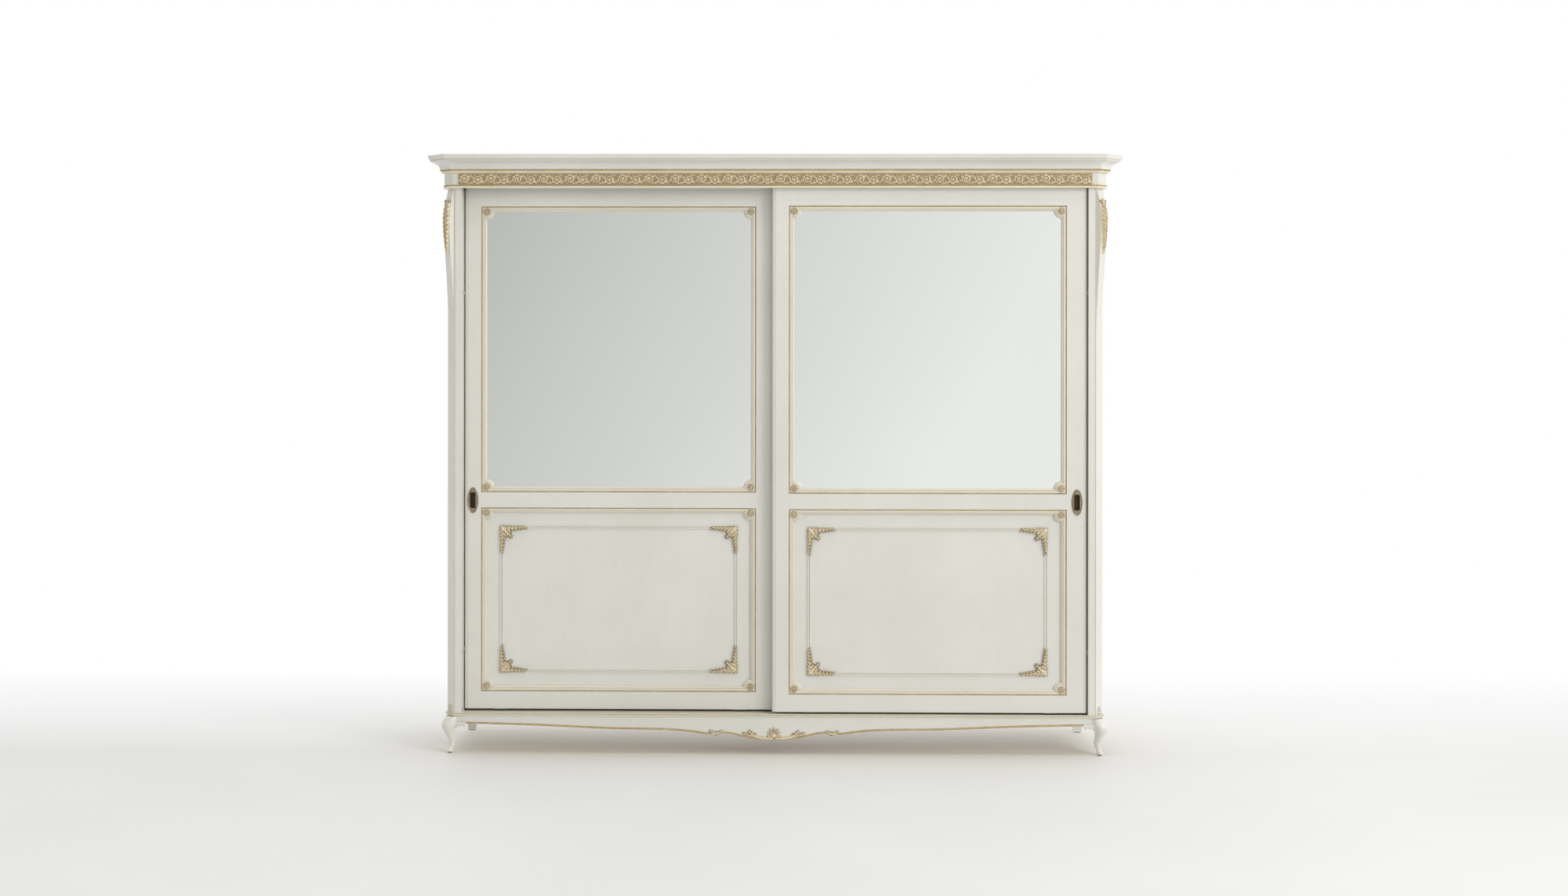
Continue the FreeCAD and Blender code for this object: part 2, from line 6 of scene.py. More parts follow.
import bpy
import numpy as np
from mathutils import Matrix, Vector

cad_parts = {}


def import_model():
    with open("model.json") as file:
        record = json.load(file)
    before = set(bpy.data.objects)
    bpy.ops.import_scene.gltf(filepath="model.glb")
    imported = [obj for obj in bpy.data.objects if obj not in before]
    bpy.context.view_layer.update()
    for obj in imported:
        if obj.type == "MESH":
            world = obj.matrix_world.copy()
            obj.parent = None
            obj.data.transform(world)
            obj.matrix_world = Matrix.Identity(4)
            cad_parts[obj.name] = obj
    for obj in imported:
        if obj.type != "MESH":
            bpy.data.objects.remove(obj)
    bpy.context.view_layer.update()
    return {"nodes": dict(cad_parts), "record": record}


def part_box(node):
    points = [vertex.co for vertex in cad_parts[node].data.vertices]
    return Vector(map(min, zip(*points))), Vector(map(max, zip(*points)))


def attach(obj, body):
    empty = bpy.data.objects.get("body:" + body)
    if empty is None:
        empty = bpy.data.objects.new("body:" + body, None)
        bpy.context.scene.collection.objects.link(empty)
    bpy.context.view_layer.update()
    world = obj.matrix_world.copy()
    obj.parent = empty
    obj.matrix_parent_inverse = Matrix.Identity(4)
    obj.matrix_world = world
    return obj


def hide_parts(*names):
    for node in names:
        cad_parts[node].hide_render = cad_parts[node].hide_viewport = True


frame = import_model()
MM = 0.001
NODES = frame["nodes"]

# ---- places read from the frame ----
CARCASS = "carcass"
SIDES = ("left", "right")
MIRROR = {"left": -1, "right": 1}               # sign of x on each side
FRIEZE_LOW, FRIEZE_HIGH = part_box("frieze_board")
CROWN_LOW, CROWN_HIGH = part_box("crown_moulding")
BEAD_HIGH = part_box("frieze_beads")[1]
SILL_LOW, SILL_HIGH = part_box("base_moulding")
CARVING_LOW, CARVING_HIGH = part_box("frieze_carving")
APRON_LOW, APRON_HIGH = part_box("front_apron")
BACK_Y = CROWN_HIGH.y

FRIEZE_OUT = 14 * MM                            # how far the frieze stands out from the posts
POST_X = FRIEZE_HIGH.x - FRIEZE_OUT             # outer side of the posts
POST_Y = FRIEZE_LOW.y + FRIEZE_OUT              # front of the posts
CANT = 30 * MM                                  # leg of the 45 degree corner cut
BEAD_OUT = BEAD_HIGH.x - POST_X
CROWN_OUT = CROWN_HIGH.x - POST_X
SILL_OUT = SILL_HIGH.x - POST_X
INSET = 8 * MM                                  # how far the mouldings reach inside the post line
CANT_MID = Vector((POST_X - CANT / 2, POST_Y + CANT / 2, 0))
OUTWARD = Vector((1, -1, 0)).normalized()
ALONG = Vector((1, 1, 0)).normalized()


# =====================================================================
# materials
# =====================================================================
class Shader:
    """A material's node tree, with short calls for the nodes used here."""

    def __init__(self, name):
        self.material = bpy.data.materials.new(name)
        self.material.use_nodes = True
        self.tree = self.material.node_tree
        self.bsdf = self.tree.nodes["Principled BSDF"]
        self.coords = self.tree.nodes.new("ShaderNodeTexCoord").outputs["Object"]

    def link(self, output, socket):
        self.tree.links.new(output, socket)

    def set(self, **values):
        for name, value in values.items():
            self.bsdf.inputs[name.replace("_", " ")].default_value = value

    def scaled(self, x, y, z):
        node = self.tree.nodes.new("ShaderNodeMapping")
        node.inputs["Scale"].default_value = (x, y, z)
        self.link(self.coords, node.inputs["Vector"])
        return node.outputs["Vector"]

    def noise(self, scale, detail=4.0, rough=0.55, stretch=(1, 1, 1), distortion=0.0):
        node = self.tree.nodes.new("ShaderNodeTexNoise")
        node.inputs["Scale"].default_value = scale
        node.inputs["Detail"].default_value = detail
        node.inputs["Roughness"].default_value = rough
        node.inputs["Distortion"].default_value = distortion
        self.link(self.scaled(*stretch), node.inputs["Vector"])
        return node.outputs["Fac"]

    def ramp(self, value, *stops):
        """Colours at places along a value; each stop is (place, (r, g, b))."""
        node = self.tree.nodes.new("ShaderNodeValToRGB")
        elements = node.color_ramp.elements
        while len(elements) < len(stops):
            elements.new(0.5)
        for element, (place, colour) in zip(elements, stops):
            element.position = place
            element.color = (*colour, 1)
        self.link(value, node.inputs["Fac"])
        return node.outputs["Color"]

    def span(self, value, low, high, start=0.0, end=1.0):
        """A value carried from start..end to low..high."""
        node = self.tree.nodes.new("ShaderNodeMapRange")
        node.inputs["From Min"].default_value = start
        node.inputs["From Max"].default_value = end
        node.inputs["To Min"].default_value = low
        node.inputs["To Max"].default_value = high
        self.link(value, node.inputs["Value"])
        return node.outputs["Result"]

    def mixed(self, factor, first, second):
        """The first colour at factor 0, the second at factor 1; sockets or tuples."""
        node = self.tree.nodes.new("ShaderNodeMix")
        node.data_type = "RGBA"
        if isinstance(factor, float):
            node.inputs[0].default_value = factor
        else:
            self.link(factor, node.inputs[0])
        for source, socket in ((first, node.inputs[6]), (second, node.inputs[7])):
            if isinstance(source, tuple):
                socket.default_value = (*source, 1)
            else:
                self.link(source, socket)
        return node.outputs[2]

    def recess(self, distance, local=True):
        """0 in the open, towards 1 deep in a corner or a carved hollow, by ambient occlusion: the mask that
        paints shade into colours, and the bronze's patina.
        """
        node = self.tree.nodes.new("ShaderNodeAmbientOcclusion")
        node.samples = 6
        node.only_local = local
        node.inputs["Distance"].default_value = distance
        return self.span(node.outputs["AO"], 1.0, 0.0, 0.40, 0.95)

    def sunk(self, ground, rise):
        """1 at a carved ground that faces the front, 0 at a rise above it, in metres."""
        split = self.tree.nodes.new("ShaderNodeSeparateXYZ")
        self.link(self.coords, split.inputs["Vector"])
        return self.span(split.outputs["Y"], 1.0, 0.0, ground, ground - rise)

    def most(self, first, second):
        """The larger of two values."""
        node = self.tree.nodes.new("ShaderNodeMath")
        node.operation = "MAXIMUM"
        self.link(first, node.inputs[0])
        self.link(second, node.inputs[1])
        return node.outputs[0]

    def bump(self, height, strength, distance, radius=0.0):
        node = self.tree.nodes.new("ShaderNodeBump")
        node.inputs["Strength"].default_value = strength
        node.inputs["Distance"].default_value = distance
        self.link(height, node.inputs["Height"])
        if radius:
            rounding = self.tree.nodes.new("ShaderNodeBevel")
            rounding.samples = 4
            rounding.inputs["Radius"].default_value = radius
            self.link(rounding.outputs["Normal"], node.inputs["Normal"])
        self.link(node.outputs["Normal"], self.bsdf.inputs["Normal"])

    def colour(self, output):
        self.link(output, self.bsdf.inputs["Base Color"])

    def roughness(self, output):
        self.link(output, self.bsdf.inputs["Roughness"])


def ivory_lacquer(name="ivory_lacquer", glaze_and_shade=0.35, tint=(1.0, 1.0, 1.0)):
    """Satin lacquer, sprayed and hand rubbed, with ochre glazing and painted shade in the hollows."""
    s = Shader(name)
    cloud = s.noise(2.2, 5.0, 0.6)
    base = s.ramp(
        cloud,
        (0.3, (0.720 * tint[0], 0.700 * tint[1], 0.640 * tint[2])),
        (0.7, (0.775 * tint[0], 0.762 * tint[1], 0.712 * tint[2])),
    )
    wash = s.noise(38, 3.0, 0.6, (1, 1, 0.25))
    base = s.mixed(s.span(wash, 0.0, 0.08, 0.45, 0.75), base, (0.70, 0.61, 0.45))
    # painted shade with ochre glazing: browner where ambient occlusion finds corners and hollows
    hollow = s.mixed(s.recess(0.008), (0.0, 0.0, 0.0), (glaze_and_shade, glaze_and_shade, glaze_and_shade))
    s.colour(s.mixed(hollow, base, (0.50, 0.37, 0.19)))
    s.roughness(s.span(s.noise(14, 4.0), 0.30, 0.46))
    s.set(Coat_Weight=0.25, Coat_Roughness=0.22, IOR=1.48)
    s.bump(s.noise(420, 2.0, 0.5, (1, 1, 0.35)), 0.05, 0.0006, 0.0006)
    return s.material


def gilding(name="gilding", ground=None, rise=0.0030, painted_shade_colour=(0.30, 0.20, 0.09)):
    """Gold leaf over carved wood, patchy from cream to deeper gold, with painted shade in the hollows and
    on the carved ground.
    """
    s = Shader(name)
    leaf = s.noise(55, 5.0, 0.65, distortion=0.6)
    gold = s.ramp(leaf, (0.28, (0.64, 0.50, 0.28)), (0.5, (0.82, 0.71, 0.49)), (0.75, (0.92, 0.85, 0.70)))
    # painted shade: browner where ambient occlusion finds hollows and, given a ground, on the carved ground
    # below the rise
    hollow = s.recess(0.005)
    if ground is not None:
        hollow = s.most(hollow, s.sunk(ground, rise))
    s.colour(s.mixed(hollow, gold, painted_shade_colour))
    s.roughness(s.span(s.noise(130, 3.0), 0.34, 0.58))
    s.set(Metallic=0.35, Coat_Weight=0.1, Coat_Roughness=0.35)
    s.bump(s.noise(900, 3.0, 0.6), 0.16, 0.0005)
    return s.material


def gilt_line():
    """The thin rubbed gold of the lines and beads."""
    s = Shader("gilt_line")
    worn = s.noise(26, 5.0, 0.65)
    s.colour(s.ramp(worn, (0.3, (0.40, 0.30, 0.15)), (0.6, (0.55, 0.43, 0.24)), (0.8, (0.70, 0.60, 0.42))))
    s.roughness(s.span(s.noise(160, 3.0), 0.38, 0.6))
    s.set(Metallic=0.4)
    s.bump(s.noise(700, 2.0), 0.08, 0.0004)
    return s.material


def pale_gilt():
    """Cream lacquer glazed with gold, on the beads of the frieze, with painted shade in its hollows."""
    s = Shader("pale_gilt")
    glaze_and_shade = s.noise(30, 5.0, 0.6, (0.3, 1, 1))
    base = s.ramp(glaze_and_shade, (0.3, (0.82, 0.71, 0.50)), (0.7, (0.92, 0.84, 0.67)))
    # painted shade: browner where ambient occlusion finds hollows
    s.colour(s.mixed(s.recess(0.003), base, (0.46, 0.34, 0.18)))
    s.roughness(s.span(s.noise(90, 3.0), 0.32, 0.5))
    s.set(Metallic=0.15, Coat_Weight=0.2, Coat_Roughness=0.3)
    s.bump(s.noise(500, 2.0), 0.06, 0.0004)
    return s.material


def mirror_glass():
    """Silvered glass, nearly even."""
    s = Shader("mirror_glass")
    s.colour(s.ramp(s.noise(0.9, 2.0), (0.3, (0.90, 0.915, 0.90)), (0.7, (0.93, 0.94, 0.93))))
    s.roughness(s.span(s.noise(3.0, 2.0), 0.012, 0.03))
    s.set(Metallic=1.0)
    return s.material


def antique_bronze(name="antique_bronze", ground=None):
    """Patinated bronze; behind the ground, in the finger cup, it is almost black."""
    s = Shader(name)
    patina = s.noise(240, 4.0, 0.6)
    metal_colour = s.ramp(
        patina, (0.3, (0.24, 0.20, 0.13)), (0.6, (0.36, 0.31, 0.22)), (0.85, (0.50, 0.45, 0.34))
    )
    hollow = s.recess(0.010)
    if ground is not None:
        hollow = s.most(hollow, s.sunk(ground + 3 * MM, 3 * MM))
    s.colour(s.mixed(hollow, metal_colour, (0.055, 0.034, 0.018)))
    s.roughness(s.span(s.noise(300, 3.0), 0.28, 0.5))
    s.set(Metallic=0.7)
    s.bump(s.noise(1400, 2.0), 0.08, 0.0003)
    return s.material


def board(name, low, high, grain=60.0, run=(1, 1, 0.06)):
    """Faced board; the grain runs along the axis whose noise is stretched."""
    s = Shader(name)
    lines = s.noise(grain, 5.0, 0.6, run, 0.3)
    s.colour(s.ramp(lines, (0.3, low), (0.7, high)))
    s.roughness(s.span(s.noise(40, 3.0), 0.5, 0.68))
    s.bump(lines, 0.08, 0.0004, 0.0006)
    return s.material


def metal(name, low, high, rough, streak=(1, 1, 1)):
    """Brushed or plated metal; the streak stretches its brushing."""
    s = Shader(name)
    brushed = s.noise(500, 3.0, 0.5, streak)
    s.colour(s.ramp(brushed, (0.3, low), (0.7, high)))
    s.roughness(s.span(brushed, rough * 0.8, rough * 1.25))
    s.set(Metallic=1.0)
    s.bump(brushed, 0.05, 0.0002, 0.0003)
    return s.material


def plastic(name, low, high, rough):
    """Moulded nylon or rubber."""
    s = Shader(name)
    s.colour(s.ramp(s.noise(80, 4.0), (0.3, low), (0.7, high)))
    s.roughness(s.span(s.noise(200, 2.0), rough, rough + 0.12))
    s.bump(s.noise(1600, 2.0), 0.06, 0.0002, 0.0003)
    return s.material


LACQUER = ivory_lacquer()
# cream tint, with strong glazing and painted shade in its hollows (0.75)
MOULDED = ivory_lacquer("ivory_glazed_and_shaded", 0.75, (1.0, 0.965, 0.89))
GOLD = gilding()
LINE = gilt_line()
CREAM = pale_gilt()
FINISH = {
    "ivory_lacquer": LACQUER,
    "gilding": GOLD,
    "mirror_glass": mirror_glass(),
    "backing_board": board("backing_board", (0.50, 0.44, 0.34), (0.58, 0.52, 0.42), 90.0),
    "interior_board": board("interior_board", (0.60, 0.53, 0.42), (0.70, 0.64, 0.53)),
    "antique_bronze": antique_bronze(),
    "aluminium": metal("satin_aluminium", (0.62, 0.62, 0.63), (0.72, 0.72, 0.73), 0.3, (0.05, 1, 1)),
    "zinc_steel": metal("zinc_steel", (0.42, 0.43, 0.45), (0.58, 0.59, 0.61), 0.36),
    "nylon": plastic("nylon", (0.045, 0.044, 0.042), (0.070, 0.068, 0.064), 0.42),
    "rubber": plastic("rubber", (0.018, 0.018, 0.019), (0.035, 0.034, 0.033), 0.6),
    "chrome": metal("chrome", (0.78, 0.78, 0.80), (0.84, 0.84, 0.86), 0.09),
}

LONG_BOARD = board("interior_board_long", (0.60, 0.53, 0.42), (0.70, 0.64, 0.53), 60.0, (0.06, 1, 1))
LOOKS = {
    "top_panel": LONG_BOARD,
    "bottom_panel": LONG_BOARD,
    "shelves": LONG_BOARD,
    # a little glazing and painted shade in its corners (0.2)
    "bottom_track": ivory_lacquer("track_lacquer", 0.2, (1.0, 0.97, 0.90)),
    "door_bumpers": plastic("pale_rubber", (0.52, 0.50, 0.45), (0.60, 0.58, 0.53), 0.5),
}


def dress_cad():
    """Gives every carried-over CAD node the finish of its slot, or its own."""
    for part in frame["record"]["subparts"]:
        mesh = NODES[part["node"]].data
        mesh.materials.clear()
        mesh.materials.append(LOOKS.get(part["node"], FINISH[part["material_slot"]]))


# =====================================================================
# mesh helpers
# =====================================================================
def add_piece(name, verts, faces, material, body, stands_for=(), crease=32.0):
    """Links a mesh, smooths what turns less than the crease, and rides it on its body."""
    mesh = bpy.data.meshes.new(name)
    mesh.from_pydata([tuple(v) for v in verts], [], [tuple(f) for f in faces])
    mesh.validate()
    for polygon in mesh.polygons:
        polygon.use_smooth = True
    mesh.set_sharp_from_angle(angle=math.radians(crease))
    mesh.materials.append(material)
    piece = bpy.data.objects.new(name, mesh)
    bpy.context.scene.collection.objects.link(piece)
    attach(piece, body)
    if stands_for:
        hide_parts(*stands_for)


def loft(rings, closed_run=False, caps=True):
    """Quads between closed rings of equal length; caps fill the first and the last ring."""
    count = len(rings[0])
    verts = [point for ring in rings for point in ring]
    faces = []
    runs = len(rings) if closed_run else len(rings) - 1
    for i in range(runs):
        a, b = i * count, ((i + 1) % len(rings)) * count
        for j in range(count):
            k = (j + 1) % count
            faces.append((a + j, b + j, b + k, a + k))
    if caps and not closed_run:
        faces.append(tuple(range(count)))
        faces.append(tuple(reversed(range((len(rings) - 1) * count, len(rings) * count))))
    return verts, faces


def merged(parts):
    """Several (verts, faces) as one."""
    verts, faces = [], []
    for part_verts, part_faces in parts:
        start = len(verts)
        verts += list(part_verts)
        faces += [tuple(i + start for i in face) for face in part_faces]
    return verts, faces


def welded(verts, faces):
    """The same surface with every point once and without collapsed faces."""
    places = {}
    index = [places.setdefault(tuple(point), len(places)) for point in verts]
    slim = [tuple(dict.fromkeys(index[i] for i in face)) for face in faces]
    return list(places), [face for face in slim if len(face) > 2]


def curve(points, samples):
    """A smooth line through points of any number of values each (Catmull-Rom)."""
    p = np.array(points, float)
    p = np.vstack([2 * p[0] - p[1], p, 2 * p[-1] - p[-2]])
    spans = len(p) - 3
    out = []
    for t in np.linspace(0, spans, samples):
        i = min(int(t), spans - 1)
        f = t - i
        a, b, c, d = p[i:i + 4]
        out.append(0.5 * (2 * b + (c - a) * f + (2 * a - 5 * b + 4 * c - d) * f ** 2
                          + (3 * b - a - 3 * c + d) * f ** 3))
    return np.array(out)


def arc(cx, cy, radius, start, end, steps):
    """Points on an arc, angles in degrees."""
    return [
        (cx + radius * math.cos(math.radians(a)), cy + radius * math.sin(math.radians(a)))
        for a in np.linspace(start, end, steps)
    ]


# =====================================================================
# mouldings that turn the front corners
# =====================================================================
def front_line(out):
    """The line of the posts in plan, moved out, from the back left to the back right."""
    x, y = POST_X + out, POST_Y - out
    leg = CANT + out * (2 - math.sqrt(2))
    left = [(-x, BACK_Y), (-x, y + leg), (leg - x, y)]
    return left + [(-px, py) for px, py in reversed(left)]


def corner_moulding(name, profile, material, stands_for):
    """A mitred moulding from a closed profile of (out, z)."""
    rings = [[(*front_line(out)[k], z) for out, z in profile] for k in range(6)]
    verts, faces = loft(rings)
    add_piece(name, verts, faces, material, CARCASS, stands_for, 24.0)


def crown():
    """Fascia over a small fillet, a deep cove and a foot that sits on the gilt bead."""
    low, top = CROWN_LOW.z, CROWN_HIGH.z
    reach, rise, foot = 36 * MM, 30 * MM, BEAD_OUT + 1 * MM
    cove = [
        (foot + reach * (1 - math.cos(math.radians(a))), low + 3 * MM + rise * math.sin(math.radians(a)))
        for a in np.linspace(0, 90, 15)
    ]
    lip = low + rise + 6 * MM
    fillet, fillet_out = 4 * MM, CROWN_OUT - 10 * MM
    edge = 2.2 * MM
    lean = 5 * MM                           # the fascia leans out towards its top
    fascia = arc(CROWN_OUT - lean - edge, lip + fillet + edge, edge, -90, 0, 5)
    fascia += arc(CROWN_OUT - edge, top - edge, edge, 0, 90, 5)
    profile = [(-INSET, low), (foot, low)] + cove
    profile += [(cove[-1][0] + 2 * MM, lip), (fillet_out, lip), (fillet_out, lip + fillet)]
    profile += fascia + [(-INSET, top)]
    corner_moulding("crown", profile, LACQUER, ("crown_moulding",))


def gilt_beads():
    """Each bead of the frieze is cream gold beside a thin gilt line."""
    out, top, low = FRIEZE_OUT, CROWN_LOW.z, FRIEZE_LOW.z
    r = 2 * MM
    line = [(out - MM, top - 2 * r)] + arc(BEAD_OUT - r, top - r, r, -90, 60, 6) + [(out - MM, top)]
    corner_moulding("crown_gilt_line", line, LINE, ())
    bead = [(out - MM, top - 16 * MM)]
    bead += arc(out + 3 * MM, top - 13.4 * MM, 2.6 * MM, -90, 30, 6) + [(out + 6 * MM, top - 11.5 * MM)]
    bead += arc(out + 10 * MM, top - 8 * MM, 3.6 * MM, -80, 60, 7)
    bead += [(out + 13 * MM, top - 2 * r), (out - MM, top - 2 * r)]
    corner_moulding("frieze_bead_upper", bead, CREAM, ("frieze_beads",))
    step = low + 9.5 * MM
    lower = [(out - MM, low), (out + MM, low)] + arc(out + 1.5 * MM, low + 4.2 * MM, 4.2 * MM, -80, 80, 9)
    lower += [(out + 0.6 * MM, step), (out - MM, step)]
    corner_moulding("frieze_bead_lower", lower, CREAM, ())
    r = 1.7 * MM
    line = [(out - MM, step)] + arc(out + 2.4 * MM, step + r, r, -90, 90, 7) + [(out - MM, step + 2 * r)]
    corner_moulding("frieze_gilt_line", line, LINE, ())


def sill():
    """The base moulding, with a gilded line along its upper edge."""
    low, top, out = SILL_LOW.z, SILL_HIGH.z, SILL_OUT
    r = 3.5 * MM
    profile = [(-INSET, low), (out - 5 * MM, low), (out - 4 * MM, low + 3.5 * MM)]
    profile += [(out - 1.5 * MM, low + 4.5 * MM)]
    profile += arc(out - r, top - r, r, 0, 90, 6)
    profile += [(out - 6.5 * MM, top - 1.2 * MM), (-INSET, top - 1.2 * MM)]
    corner_moulding("sill", profile, MOULDED, ("base_moulding",))
    line_z = top - 3.2 * MM
    r = 1.6 * MM
    line = [(out - 3 * MM, line_z - r)] + arc(out - 0.9 * MM, line_z, r, -90, 90, 7)
    line += [(out - 3 * MM, line_z + r)]
    corner_moulding("sill_gilt_line", line, LINE, ())


# =====================================================================
# carving: strokes raised from a flat or curved ground
# =====================================================================
class Carving:
    """A relief made of tapered strokes. Points are (across, up) in millimetres."""

    def __init__(self):
        self.samples = []

    def stroke(self, points, widths, height, vein=0.0, steps=26):
        """A rounded ridge along a smooth line; widths is its half width from start to end."""
        line = curve(points, steps)
        along = np.linspace(0, 1, steps)
        width = np.interp(along, np.linspace(0, 1, len(widths)), widths)
        self.samples.append((line, width, height, vein))

    def scroll(self, centre, start_radius, end_radius, start_angle, turn, widths, height):
        """A stroke that spirals round a centre; angles in degrees."""
        angles = np.radians(np.linspace(start_angle, start_angle + turn, 14))
        radii = np.linspace(start_radius, end_radius, 14)
        points = [(centre[0] + r * math.cos(a), centre[1] + r * math.sin(a)) for a, r in zip(angles, radii)]
        self.stroke(points, widths, height, steps=44)

    def boss(self, x, y, radius, height):
        """A round knob."""
        self.samples.append((np.array([(x, y)]), np.array([radius]), height, 0.0))

    def leaf(self, base, tip, width, lobes, height, bend=0.0, sides=(-1, 1)):
        """An acanthus leaf: a veined rib with curling lobes that shorten towards the tip."""
        base, tip = np.array(base, float), np.array(tip, float)
        axis = tip - base
        length = np.linalg.norm(axis)
        across = np.array([-axis[1], axis[0]]) / length
        middle = (base + tip) / 2 + across * bend
        rib = curve([base, middle, tip], 40)
        self.stroke([base, middle, tip], (width * 0.30, width * 0.34, width * 0.12), height, 0.35)
        for n in range(lobes):
            t = (n + 0.6) / (lobes + 0.5)
            at = rib[int(t * 39)]
            ahead = rib[min(int(t * 39) + 3, 39)] - at
            ahead = ahead / max(np.linalg.norm(ahead), 1e-6)
            beside = np.array([-ahead[1], ahead[0]])
            reach = width * (1.05 - 0.65 * t)
            for side in sides:
                out = side * beside
                knee = at + out * reach * 0.62 + ahead * reach * 0.30
                end = at + out * reach * 0.88 + ahead * reach * 0.95
                widths = (width * 0.20, width * 0.19, width * 0.07)
                self.stroke([at, knee, end], widths, height * 0.80, 0.25, 14)

    def heights(self, across, up):
        """The height over the ground at each grid point, negative outside the strokes."""
        x, y = np.meshgrid(across, up)
        top = np.full(x.shape, -0.9)
        for line, width, height, vein in self.samples:
            reach = width.max() + 1.5
            cols = np.where((across > line[:, 0].min() - reach) & (across < line[:, 0].max() + reach))[0]
            rows = np.where((up > line[:, 1].min() - reach) & (up < line[:, 1].max() + reach))[0]
            if not len(cols) or not len(rows):
                continue
            part = np.ix_(rows, cols)
            d2 = (x[part][..., None] - line[:, 0]) ** 2 + (y[part][..., None] - line[:, 1]) ** 2
            ratio = d2 / width ** 2
            dome = np.where(ratio < 1, np.sqrt(np.clip(1 - ratio, 0, 1)), (1 - np.sqrt(ratio)) * 0.9)
            ridge = (height * dome).max(-1)
            if vein:
                near = np.sqrt(ratio.min(-1))
                ridge = ridge - vein * height * np.exp(-(near / 0.22) ** 2)
            top[part] = np.maximum(top[part], ridge)
        return top


def carved(carving, x0, x1, y0, y1, cell, place, ground=None):
    """The carving as a mesh. place(across, up, height) gives a point in metres.

    With a ground height the whole rectangle is kept; without one only the strokes are,
    and their edges run under the surface that they sit on.
    """
    across = np.linspace(x0, x1, int(round((x1 - x0) / cell)) + 1)
    up = np.linspace(y0, y1, int(round((y1 - y0) / cell)) + 1)
    height = carving.heights(across, up)
    keep_all = ground is not None
    if keep_all:
        height = np.maximum(height, 0) + ground
    rows, cols = height.shape
    used = {}
    verts, faces = [], []

    def vertex(r, c):
        if (r, c) not in used:
            used[(r, c)] = len(verts)
            verts.append(place(across[c], up[r], height[r, c]))
        return used[(r, c)]

    for r in range(rows - 1):
        for c in range(cols - 1):
            if keep_all or height[r:r + 2, c:c + 2].max() > -0.05:
                faces.append((vertex(r, c), vertex(r, c + 1), vertex(r + 1, c + 1), vertex(r + 1, c)))
    return verts, faces


def scroll_unit(pitch, height):
    """Two spirals, one turning up and one down, with leaves in the corners."""
    unit = Carving()
    half, mid = pitch / 2, height / 2
    for k, turn in ((0, 1), (1, -1)):
        cx = half * (k + 0.5)
        unit.scroll((cx, mid), 17.5, 4.5, 180, -turn * 560, (3.2, 3.0, 2.0), 4.6)
        unit.boss(cx, mid, 4.2, 5.2)
        for petal in range(5):
            a = math.radians(72 * petal)
            unit.boss(cx + 4.6 * math.cos(a), mid + 4.6 * math.sin(a), 2.1, 4.2)
        for angle in (38, 142):
            a = math.radians(turn * angle)
            base = (cx + 15 * math.cos(a), mid + 15 * math.sin(a))
            tip = (cx + 28 * math.cos(a), mid + 19.5 * math.sin(a))
            unit.leaf(base, tip, 7.0, 2, 3.6, turn * 2)
        unit.leaf((cx + 6, mid - turn * 17), (cx + half - 6, mid - turn * 8), 6.5, 3, 3.8, -turn * 2)
        unit.leaf((cx - 8, mid + turn * 19), (cx + 9, mid + turn * 20.5), 4.5, 2, 3.6)
        unit.leaf((cx + 17, mid + turn * 6), (cx + 25, mid + turn * 20), 6.0, 2, 4.0, -turn)
        unit.leaf((cx - 19, mid - turn * 4), (cx - 12, mid - turn * 20), 5.0, 2, 3.8, turn)
        unit.stroke(
            [(cx - 17.5, mid), (cx - 24, mid - turn * 8), (cx - half * 0.62, mid - turn * 17)],
            (3.2, 2.8, 1.6), 4.4,
        )
    return unit


def frieze_band():
    """The running scroll: the same unit all along the frieze."""
    low, high = CARVING_LOW, CARVING_HIGH
    height = (high.z - low.z) / MM
    length = (high.x - low.x) / MM
    repeats = 24
    pitch = length / repeats
    face = FRIEZE_LOW.y
    unit = scroll_unit(pitch, height)
    # painted shade on the carved ground, a lighter brown, fading out over 2.2 mm of rise
    leafed = gilding("frieze_gold", face - 1.2 * MM, 2.2 * MM, (0.42, 0.31, 0.17))
    parts = []
    for n in range(repeats):
        x = low.x + n * pitch * MM
        parts.append(carved(
            unit, 0, pitch, 0, height, 1.25,
            lambda u, v, h, x=x: (x + u * MM, face - h * MM, low.z + v * MM), 1.0,
        ))
    verts, faces = merged(parts)
    add_piece("frieze_scrolls", verts, faces, leafed, CARCASS, ("frieze_carving",), 60.0)


def post_depth(z):
    """How far the shoulder of the post stands out from the corner cut, in millimetres."""
    low, high, most = 1690.0, FRIEZE_LOW.z / MM - 8, 22
    share = (z - low) / (high - low)
    places = (0, 0.28, 0.5, 0.7, 0.86, 1)
    depths = (0, 0.16, 0.55, 0.98, 0.9, 0.1)
    line = curve(list(zip(places, depths)), 60)
    return most * float(np.interp(share, line[:, 0], line[:, 1], 0, 0))


def on_post(side, z0, lift=0.0):
    """Places carving on a corner cut: across it, up it, and out from it."""
    def place(u, v, h):
        z = z0 + v
        point = CANT_MID + ALONG * (u * MM) + OUTWARD * ((post_depth(z) + lift + h) * MM)
        return (MIRROR[side] * point.x, point.y, z * MM)

    return place


def turned_for(side, part):
    """A mirrored piece has its faces the other way round."""
    verts, faces = part
    if side == "left":
        faces = [tuple(reversed(face)) for face in faces]
    return verts, faces


